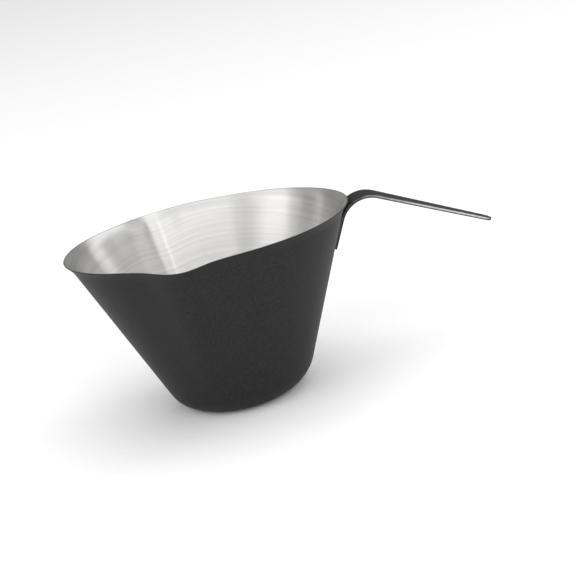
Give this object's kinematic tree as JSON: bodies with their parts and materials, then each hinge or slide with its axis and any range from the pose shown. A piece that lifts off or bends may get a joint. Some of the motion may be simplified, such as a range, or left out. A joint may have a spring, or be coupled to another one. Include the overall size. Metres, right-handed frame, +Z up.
{
  "type": "small pouring cup",
  "caption": "Small coated steel pouring cup with a wide spout, for melted wax or other liquids, with a bent flat strip handle at the back.",
  "frame": {"origin": "centre of the flat underside of the base", "axes": "+Z up, +X from the spout towards the handle, +Y to the left of the handle"},
  "size_m": [0.1204, 0.0706, 0.0491],
  "materials": {
    "brushed_steel": "brushed",
    "black_coating": "fine matt texture",
    "strip_steel": "satin cut edge",
    "weld_metal": "dull"
  },
  "bodies": {
    "root": {"cup_shell": "brushed_steel", "outer_coating": "black_coating", "base_coating": "black_coating", "handle_strip": "strip_steel", "handle_coating": "black_coating", "spot_welds": "weld_metal"}
  },
  "joints": []
}
